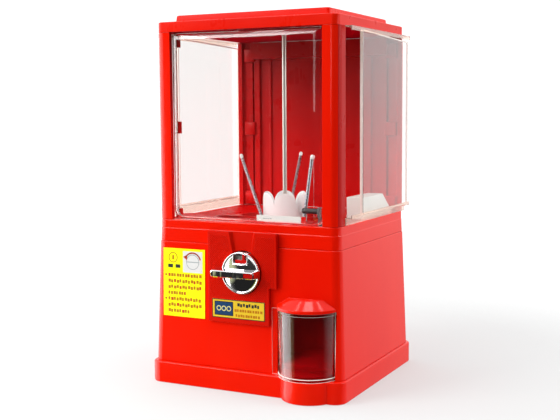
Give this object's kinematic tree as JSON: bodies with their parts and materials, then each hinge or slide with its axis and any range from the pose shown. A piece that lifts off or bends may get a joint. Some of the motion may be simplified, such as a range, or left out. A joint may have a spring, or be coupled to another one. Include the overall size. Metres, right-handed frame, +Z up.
{
  "type": "capsule vending machine",
  "caption": "Table-top capsule vending machine: clear-walled hopper with a stirring wheel, coin dial with a bar handle, and a round chute with a turning clear door.",
  "frame": {"origin": "middle of the base's underside, on the table", "axes": "+Z up; -Y out of the front, where the coin dial faces; +X to the right of someone facing the front"},
  "size_m": [0.3458, 0.3495, 0.6],
  "materials": {
    "body_red": "glossy moulded",
    "inner_red": "semi-gloss moulded",
    "insert_red": "glossy moulded",
    "clear_plastic": "clear polished",
    "chrome_trim": "mirror plated",
    "steel": "plain bright",
    "white_plastic": "satin moulded",
    "grey_plastic": "satin moulded",
    "dark_rubber": "matt",
    "printed_label": "printed, satin film"
  },
  "bodies": {
    "root": {"base_skirt": "body_red", "lower_cabinet": "body_red", "rear_hatch": "body_red", "hopper_collar": "body_red", "hopper_funnel": "body_red", "post_front_left": "body_red", "post_front_right": "body_red", "post_rear_left": "body_red", "post_rear_right": "body_red", "coin_plate": "body_red", "chute_hood": "body_red", "hopper_floor": "inner_red", "rear_wall": "inner_red", "window_clip_left": "inner_red", "window_clip_right": "inner_red", "drop_ramp": "inner_red", "chute_pocket": "inner_red", "front_window": "clear_plastic", "rail_left_lower": "clear_plastic", "rail_left_upper": "clear_plastic", "rail_right_lower": "clear_plastic", "rail_right_upper": "clear_plastic", "centre_rod": "steel", "pawl_pin": "steel", "pawl_spring": "steel", "hatch_screw_left": "steel", "hatch_screw_right": "steel", "side_guide": "white_plastic", "coin_guide": "white_plastic", "bottom_plate": "grey_plastic", "mech_housing": "grey_plastic", "wiper_bracket": "grey_plastic", "wiper_roller": "dark_rubber", "price_label": "printed_label", "caution_label": "printed_label"},
    "dial": {"coin_dial": "chrome_trim", "dial_handle": "chrome_trim", "handle_insert": "insert_red", "coin_slot_insert": "insert_red", "coin_carrier": "white_plastic", "dial_shaft": "steel", "drive_pinion": "white_plastic", "ratchet_wheel": "steel"},
    "wheel": {"capsule_wheel": "body_red", "hub_crown": "white_plastic", "agitator_spring_1": "steel", "agitator_spring_2": "steel", "agitator_spring_3": "steel", "drive_gear": "white_plastic"},
    "flap": {"chute_flap": "clear_plastic"},
    "pawl": {"ratchet_pawl": "steel"},
    "lid": {"lid": "body_red", "lid_liner": "inner_red", "lid_lock_housing": "chrome_trim"},
    "lid_plug": {"lid_lock_plug": "steel"},
    "left_window": {"left_window": "clear_plastic"},
    "right_window": {"right_window": "clear_plastic"},
    "drawer": {"drawer_tray": "grey_plastic", "drawer_face": "body_red"},
    "drawer_plug": {"drawer_lock_plug": "chrome_trim"}
  },
  "joints": [
    {"name": "wheel_turn", "type": "hinge", "parent": "root", "child": "wheel", "pos_m": [0, 0, 0.2425], "axis": [0, 0, 1], "continuous": true},
    {"name": "dial_turn", "type": "hinge", "parent": "root", "child": "dial", "pos_m": [0, -0.15, 0.192], "axis": [0, 1, 0], "continuous": true},
    {"name": "flap_turn", "type": "hinge", "parent": "root", "child": "flap", "pos_m": [0.109, -0.138, 0.036], "axis": [0, 0, 1], "range_deg": [0, 120]},
    {"name": "pawl_lift", "type": "hinge", "parent": "root", "child": "pawl", "pos_m": [0.022, -0.1095, 0.2148], "axis": [0, 1, 0], "range_deg": [0, 20], "stiffness_Nm_per_rad": 0.02},
    {"name": "lid_lift", "type": "slide", "parent": "root", "child": "lid", "axis": [0, 0, 1], "range_m": [0, 0.06]},
    {"name": "lid_key_turn", "type": "hinge", "parent": "lid", "child": "lid_plug", "pos_m": [0, 0, 0.58], "axis": [0, 0, 1], "range_deg": [0, 90]},
    {"name": "left_window_slide", "type": "slide", "parent": "root", "child": "left_window", "axis": [0, 1, 0], "range_m": [-0.047, 0.1]},
    {"name": "right_window_slide", "type": "slide", "parent": "root", "child": "right_window", "axis": [0, 1, 0], "range_m": [-0.047, 0.1]},
    {"name": "drawer_slide", "type": "slide", "parent": "root", "child": "drawer", "axis": [0, 1, 0], "range_m": [0, 0.2]},
    {"name": "drawer_key_turn", "type": "hinge", "parent": "drawer", "child": "drawer_plug", "pos_m": [-0.078, 0.15, 0.088], "axis": [0, 1, 0], "range_deg": [0, 90]}
  ],
  "couplings": [
    {"joint": "dial_turn", "follows": "wheel_turn", "ratio": 6}
  ]
}
